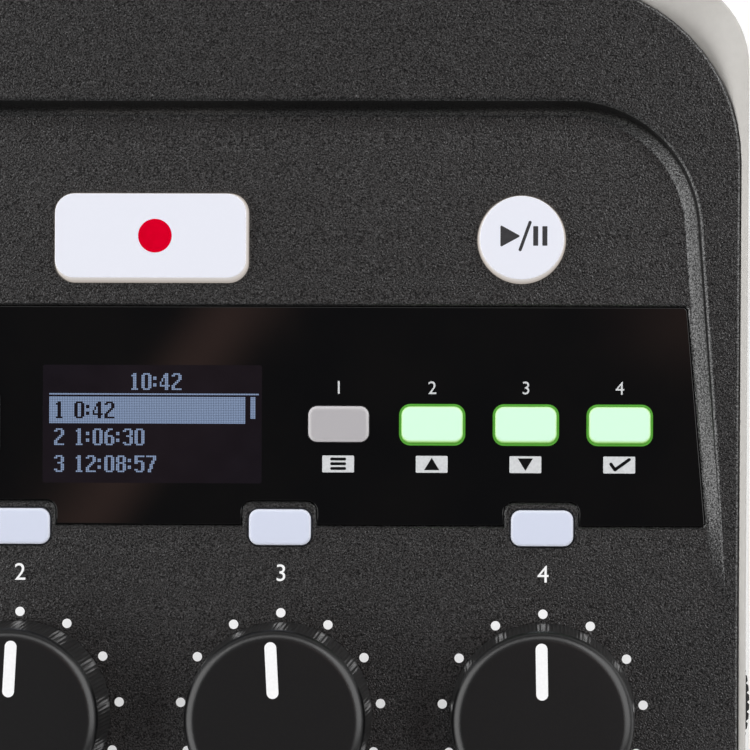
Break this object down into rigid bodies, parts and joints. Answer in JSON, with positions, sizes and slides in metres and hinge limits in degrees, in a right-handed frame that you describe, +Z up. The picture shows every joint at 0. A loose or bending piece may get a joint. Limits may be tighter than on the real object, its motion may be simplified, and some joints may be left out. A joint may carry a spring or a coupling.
{
  "type": "podcast recorder",
  "caption": "Desktop podcast recorder with a sunk control panel, a small display, lit keys, gain knobs, microphone sockets behind and headphone jacks in front.",
  "frame": {"origin": "centre of the bounding box's base, on the table under the middle of the recorder", "axes": "+Z up, +Y to the rear with the microphone sockets, +X to the right"},
  "size_m": [0.1603, 0.1318, 0.0479],
  "materials": {
    "case_grey": "light grey, fine grain",
    "cover_dark": "dark grey, spark-eroded grain",
    "gloss_black": "polished black",
    "oled_glass": "polished black glass",
    "circuit_board": "green solder mask",
    "component_black": "moulded black",
    "socket_black": "moulded black",
    "steel": "bright nickel plate",
    "cell_jacket": "printed jacket",
    "foot_rubber": "matt",
    "key_white": "translucent white, satin",
    "key_grey": "translucent, unlit, satin",
    "key_green": "translucent, lit green",
    "knob_black": "black, satin top and ribbed side",
    "slider_black": "moulded black"
  },
  "bodies": {
    "recorder": {"base_shell": "case_grey", "top_cover": "cover_dark", "display_window": "gloss_black", "oled_module": "oled_glass", "main_board": "circuit_board", "panel_board": "circuit_board", "gain_pot_1": "component_black", "gain_pot_2": "component_black", "gain_pot_3": "component_black", "gain_pot_4": "component_black", "volume_pot_1": "component_black", "volume_pot_2": "component_black", "volume_pot_3": "component_black", "volume_pot_4": "component_black", "headphone_jack_1": "component_black", "headphone_jack_2": "component_black", "headphone_jack_3": "component_black", "headphone_jack_4": "component_black", "mic_socket_1": "socket_black", "mic_socket_2": "socket_black", "mic_socket_3": "socket_black", "mic_socket_4": "socket_black", "usb_port": "steel", "card_slot": "steel", "phone_socket": "component_black", "cell_1": "cell_jacket", "cell_2": "cell_jacket", "contact_left": "steel", "contact_right": "steel", "case_screw_1": "steel", "case_screw_2": "steel", "case_screw_3": "steel", "case_screw_4": "steel", "rubber_foot_front": "foot_rubber", "rubber_foot_rear": "foot_rubber"},
    "record_button": {"record_button": "key_white"},
    "stop_button": {"stop_button": "key_white"},
    "play_button": {"play_button": "key_white"},
    "menu_key": {"menu_key": "key_grey"},
    "tone_key": {"tone_key": "key_green"},
    "compressor_key": {"compressor_key": "key_green"},
    "noise_key": {"noise_key": "key_green"},
    "sound_pad_1": {"sound_pad_1": "key_white"},
    "sound_pad_2": {"sound_pad_2": "key_white"},
    "sound_pad_3": {"sound_pad_3": "key_white"},
    "sound_pad_4": {"sound_pad_4": "key_white"},
    "mute_button_1": {"mute_button_1": "key_white"},
    "mute_button_2": {"mute_button_2": "key_white"},
    "mute_button_3": {"mute_button_3": "key_white"},
    "mute_button_4": {"mute_button_4": "key_white"},
    "gain_knob_1": {"gain_knob_1": "knob_black"},
    "gain_knob_2": {"gain_knob_2": "knob_black"},
    "gain_knob_3": {"gain_knob_3": "knob_black"},
    "gain_knob_4": {"gain_knob_4": "knob_black"},
    "volume_knob_1": {"volume_knob_1": "knob_black"},
    "volume_knob_2": {"volume_knob_2": "knob_black"},
    "volume_knob_3": {"volume_knob_3": "knob_black"},
    "volume_knob_4": {"volume_knob_4": "knob_black"},
    "power_slider": {"power_slider": "slider_black"},
    "battery_door": {"battery_door": "case_grey"}
  },
  "joints": [
    {"name": "record_button_press", "type": "slide", "parent": "recorder", "child": "record_button", "axis": [0, 0.0523, -0.9986], "range_m": [0, 0.0008], "stiffness_N_per_m": 400},
    {"name": "stop_button_press", "type": "slide", "parent": "recorder", "child": "stop_button", "axis": [0, 0.0523, -0.9986], "range_m": [0, 0.0008], "stiffness_N_per_m": 400},
    {"name": "play_button_press", "type": "slide", "parent": "recorder", "child": "play_button", "axis": [0, 0.0523, -0.9986], "range_m": [0, 0.0008], "stiffness_N_per_m": 400},
    {"name": "menu_key_press", "type": "slide", "parent": "recorder", "child": "menu_key", "axis": [0, 0.0523, -0.9986], "range_m": [0, 0.0006], "stiffness_N_per_m": 400},
    {"name": "tone_key_press", "type": "slide", "parent": "recorder", "child": "tone_key", "axis": [0, 0.0523, -0.9986], "range_m": [0, 0.0006], "stiffness_N_per_m": 400},
    {"name": "compressor_key_press", "type": "slide", "parent": "recorder", "child": "compressor_key", "axis": [0, 0.0523, -0.9986], "range_m": [0, 0.0006], "stiffness_N_per_m": 400},
    {"name": "noise_key_press", "type": "slide", "parent": "recorder", "child": "noise_key", "axis": [0, 0.0523, -0.9986], "range_m": [0, 0.0006], "stiffness_N_per_m": 400},
    {"name": "sound_pad_1_press", "type": "slide", "parent": "recorder", "child": "sound_pad_1", "axis": [0, 0.0523, -0.9986], "range_m": [0, 0.0006], "stiffness_N_per_m": 400},
    {"name": "sound_pad_2_press", "type": "slide", "parent": "recorder", "child": "sound_pad_2", "axis": [0, 0.0523, -0.9986], "range_m": [0, 0.0006], "stiffness_N_per_m": 400},
    {"name": "sound_pad_3_press", "type": "slide", "parent": "recorder", "child": "sound_pad_3", "axis": [0, 0.0523, -0.9986], "range_m": [0, 0.0006], "stiffness_N_per_m": 400},
    {"name": "sound_pad_4_press", "type": "slide", "parent": "recorder", "child": "sound_pad_4", "axis": [0, 0.0523, -0.9986], "range_m": [0, 0.0006], "stiffness_N_per_m": 400},
    {"name": "mute_button_1_press", "type": "slide", "parent": "recorder", "child": "mute_button_1", "axis": [0, 0.0523, -0.9986], "range_m": [0, 0.0006], "stiffness_N_per_m": 400},
    {"name": "mute_button_2_press", "type": "slide", "parent": "recorder", "child": "mute_button_2", "axis": [0, 0.0523, -0.9986], "range_m": [0, 0.0006], "stiffness_N_per_m": 400},
    {"name": "mute_button_3_press", "type": "slide", "parent": "recorder", "child": "mute_button_3", "axis": [0, 0.0523, -0.9986], "range_m": [0, 0.0006], "stiffness_N_per_m": 400},
    {"name": "mute_button_4_press", "type": "slide", "parent": "recorder", "child": "mute_button_4", "axis": [0, 0.0523, -0.9986], "range_m": [0, 0.0006], "stiffness_N_per_m": 400},
    {"name": "gain_knob_1_turn", "type": "hinge", "parent": "recorder", "child": "gain_knob_1", "pos_m": [-0.0525, -0.0332, 0.0335], "axis": [0, -0.0523, 0.9986], "range_deg": [-140, 140]},
    {"name": "gain_knob_2_turn", "type": "hinge", "parent": "recorder", "child": "gain_knob_2", "pos_m": [-0.0175, -0.0332, 0.0335], "axis": [0, -0.0523, 0.9986], "range_deg": [-137, 143]},
    {"name": "gain_knob_3_turn", "type": "hinge", "parent": "recorder", "child": "gain_knob_3", "pos_m": [0.0175, -0.0332, 0.0335], "axis": [0, -0.0523, 0.9986], "range_deg": [-143, 137]},
    {"name": "gain_knob_4_turn", "type": "hinge", "parent": "recorder", "child": "gain_knob_4", "pos_m": [0.0525, -0.0332, 0.0335], "axis": [0, -0.0523, 0.9986], "range_deg": [-141, 139]},
    {"name": "volume_knob_1_turn", "type": "hinge", "parent": "recorder", "child": "volume_knob_1", "pos_m": [-0.0597, -0.0564, 0.015], "axis": [0, -1, 0], "range_deg": [-140, 140]},
    {"name": "volume_knob_2_turn", "type": "hinge", "parent": "recorder", "child": "volume_knob_2", "pos_m": [-0.0247, -0.0564, 0.015], "axis": [0, -1, 0], "range_deg": [-140, 140]},
    {"name": "volume_knob_3_turn", "type": "hinge", "parent": "recorder", "child": "volume_knob_3", "pos_m": [0.0103, -0.0564, 0.015], "axis": [0, -1, 0], "range_deg": [-140, 140]},
    {"name": "volume_knob_4_turn", "type": "hinge", "parent": "recorder", "child": "volume_knob_4", "pos_m": [0.0453, -0.0564, 0.015], "axis": [0, -1, 0], "range_deg": [-140, 140]},
    {"name": "power_slide", "type": "slide", "parent": "recorder", "child": "power_slider", "axis": [0, -1, 0], "range_m": [0, 0.004]},
    {"name": "battery_door_hinge", "type": "hinge", "parent": "recorder", "child": "battery_door", "pos_m": [0, 0.01375, 0.0023], "axis": [1, 0, 0], "range_deg": [0, 80]}
  ]
}
